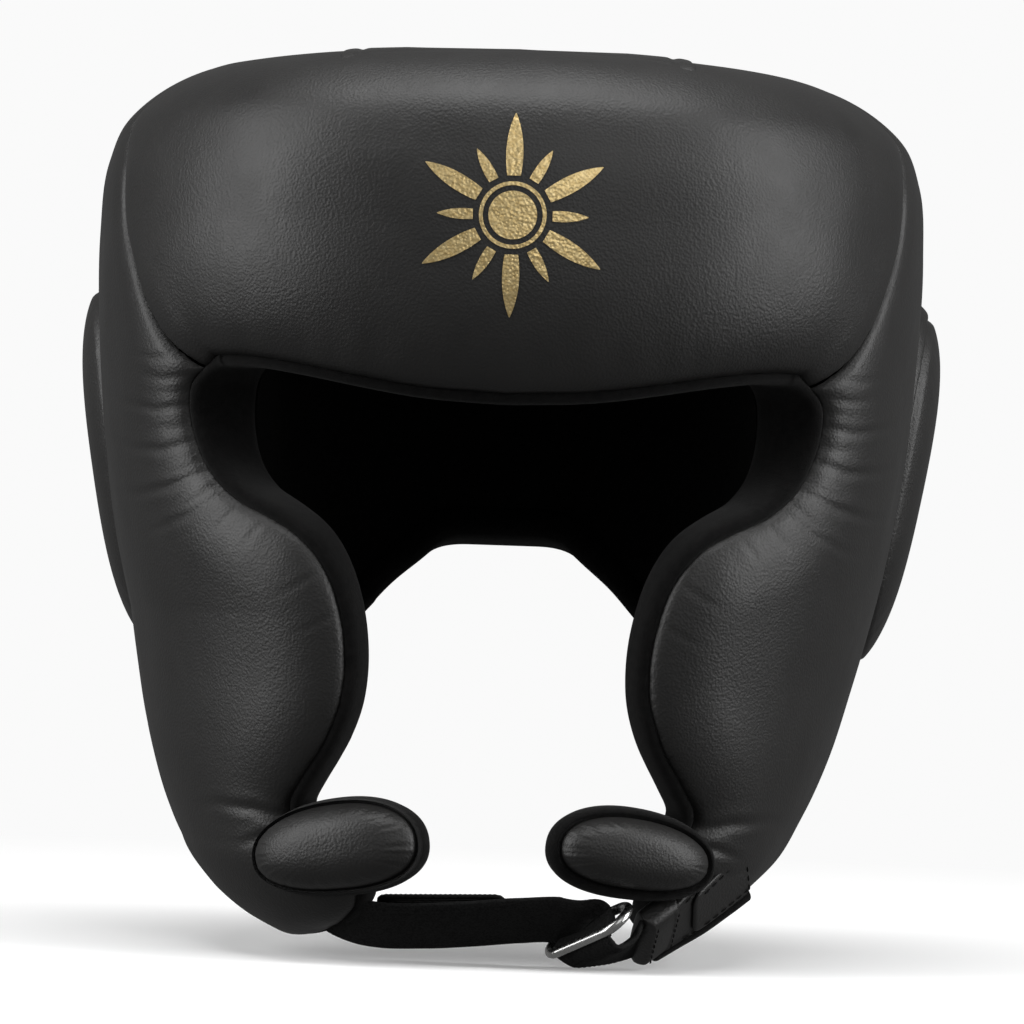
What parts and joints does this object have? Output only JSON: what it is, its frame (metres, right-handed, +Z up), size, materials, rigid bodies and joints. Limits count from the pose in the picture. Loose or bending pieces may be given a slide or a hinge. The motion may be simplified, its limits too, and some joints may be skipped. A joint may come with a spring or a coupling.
{
  "type": "boxing headguard",
  "caption": "Padded full-face boxing headguard in black leather with brow, cheek, ear and chin padding, crown and rear straps and a webbing chin strap.",
  "frame": {"origin": "middle of the wearer's head, midway between the temples, at the height of the brow's lower edge less about 20 mm", "axes": "+Z up, the face opening towards -Y, +X to the right seen from the front"},
  "size_m": [0.2324, 0.2555, 0.2425],
  "materials": {
    "black_leather": "satin",
    "black_suede": "matte",
    "foam": "matte",
    "hook_and_loop": "matte",
    "webbing": "matte",
    "steel": "satin",
    "gold_foil": "satin"
  },
  "bodies": {
    "guard": {"forehead_cover": "black_leather", "side_cover_left": "black_leather", "side_cover_right": "black_leather", "rear_cover": "black_leather", "ear_cover_left": "black_leather", "ear_cover_right": "black_leather", "chin_wing_cover_left": "black_leather", "chin_wing_cover_right": "black_leather", "crown_tongue_root": "black_leather", "rear_strap_anchor": "black_leather", "chin_tab": "black_leather", "chin_tab_patch": "black_leather", "chin_keeper": "black_leather", "forehead_lining": "black_suede", "side_lining_left": "black_suede", "side_lining_right": "black_suede", "rear_lining": "black_suede", "brow_binding": "black_suede", "face_binding_left": "black_suede", "face_binding_right": "black_suede", "chin_wing_binding_left": "black_suede", "chin_wing_binding_right": "black_suede", "chin_wing_lining_left": "black_suede", "chin_wing_lining_right": "black_suede", "crown_panel": "black_suede", "forehead_foam": "foam", "rear_foam": "foam", "temple_foam_left": "foam", "temple_foam_right": "foam", "cheek_foam_left": "foam", "cheek_foam_right": "foam", "ear_foam_left": "foam", "ear_foam_right": "foam", "chin_wing_foam_left": "foam", "chin_wing_foam_right": "foam", "crown_loop_patch": "hook_and_loop", "rear_loop_patch": "hook_and_loop", "strap_loop_patch": "hook_and_loop", "chin_strap": "webbing", "forehead_badge": "gold_foil"},
    "crown_tongue": {"crown_tongue_cover": "black_leather", "crown_tongue_foam": "foam", "crown_hook_patch": "hook_and_loop"},
    "rear_strap": {"rear_strap": "black_leather", "rear_hook_patch": "hook_and_loop"},
    "strap_tail": {"strap_tail": "webbing", "tail_hook_patch": "hook_and_loop"},
    "strap_ring": {"strap_ring": "steel"}
  },
  "joints": [
    {"name": "crown_tongue_peel", "type": "hinge", "parent": "guard", "child": "crown_tongue", "pos_m": [0, -0.074, 0.1122], "axis": [1, 0, 0], "range_deg": [0, 95]},
    {"name": "rear_strap_peel", "type": "hinge", "parent": "guard", "child": "rear_strap", "pos_m": [-0.054, 0.1083, 0.038], "axis": [0, 0, 1], "range_deg": [0, 100]},
    {"name": "strap_tail_peel", "type": "hinge", "parent": "guard", "child": "strap_tail", "pos_m": [0.00529, -0.09114, -0.11492], "axis": [0.1478, 0.7856, -0.6009], "range_deg": [0, 60]},
    {"name": "strap_ring_tilt", "type": "hinge", "parent": "guard", "child": "strap_ring", "pos_m": [0.026, -0.095, -0.119], "axis": [0.6751, -0.6453, 0.3574], "range_deg": [0, 12]}
  ]
}
